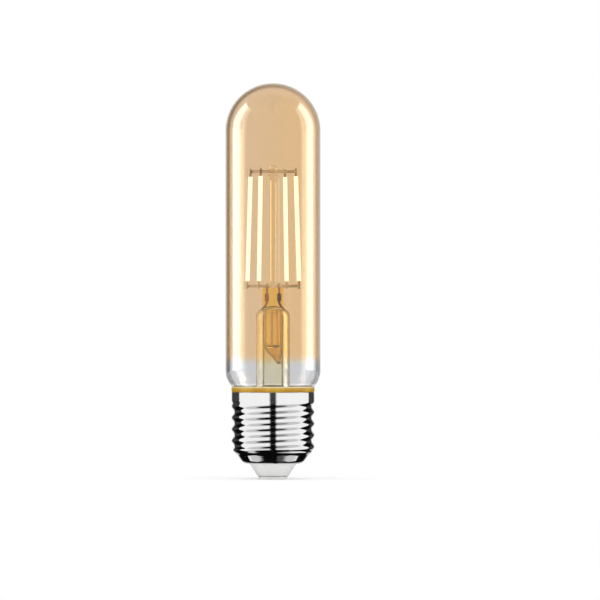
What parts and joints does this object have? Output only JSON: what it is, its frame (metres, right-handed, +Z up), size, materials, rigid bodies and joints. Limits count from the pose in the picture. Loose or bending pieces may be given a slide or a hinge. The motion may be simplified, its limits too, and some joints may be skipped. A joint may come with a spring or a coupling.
{
  "type": "tubular light bulb",
  "caption": "Clear amber tubular filament bulb with a domed end, LED sticks on a glass stem and a threaded metal screw cap with an insulated centre contact.",
  "frame": {"origin": "middle of the lower face of the centre contact", "axes": "+Z up the screw axis from the cap to the domed end, -Y towards the viewer of the picture"},
  "size_m": [0.03, 0.03, 0.125],
  "materials": {
    "amber_glass": "clear glass with an amber coat that fades out at the neck",
    "clear_glass": "clear lamp glass",
    "lead_metal": "nickel and copper-clad wire",
    "strip_metal": "nickel-plated strip",
    "phosphor": "silicone with yellow phosphor, lit",
    "cement": "hard golden basing cement",
    "plated_shell": "bright nickel plate",
    "insulator": "pale moulded plastic",
    "contact_metal": "nickel-plated",
    "circuit_board": "green solder mask",
    "moulding": "black moulding",
    "capacitor_sleeve": "dark sleeve",
    "resistor_coat": "lacquered",
    "chip_resistor": "dark glaze",
    "tinned_copper": "tinned copper"
  },
  "bodies": {
    "root": {"basing_cement": "cement", "bottom_bracket_left": "strip_metal", "bottom_bracket_right": "strip_metal", "bridge_rectifier": "moulding", "cap_insulator": "insulator", "cap_shell": "plated_shell", "centre_contact": "contact_metal", "driver_board": "circuit_board", "driver_chip": "moulding", "exhaust_tube": "clear_glass", "filament_1": "phosphor", "filament_1_bottom_tab": "strip_metal", "filament_1_top_tab": "strip_metal", "filament_2": "phosphor", "filament_2_bottom_tab": "strip_metal", "filament_2_top_tab": "strip_metal", "filament_3": "phosphor", "filament_3_bottom_tab": "strip_metal", "filament_3_top_tab": "strip_metal", "filament_4": "phosphor", "filament_4_bottom_tab": "strip_metal", "filament_4_top_tab": "strip_metal", "fuse_resistor": "resistor_coat", "glass_envelope": "amber_glass", "lead_wire_left": "lead_metal", "lead_wire_right": "lead_metal", "live_lead": "tinned_copper", "neutral_lead": "tinned_copper", "sense_resistor_1": "chip_resistor", "sense_resistor_2": "chip_resistor", "smoothing_capacitor": "capacitor_sleeve", "stem_tube": "clear_glass", "support_rod": "clear_glass", "top_bridge": "strip_metal"}
  },
  "joints": []
}
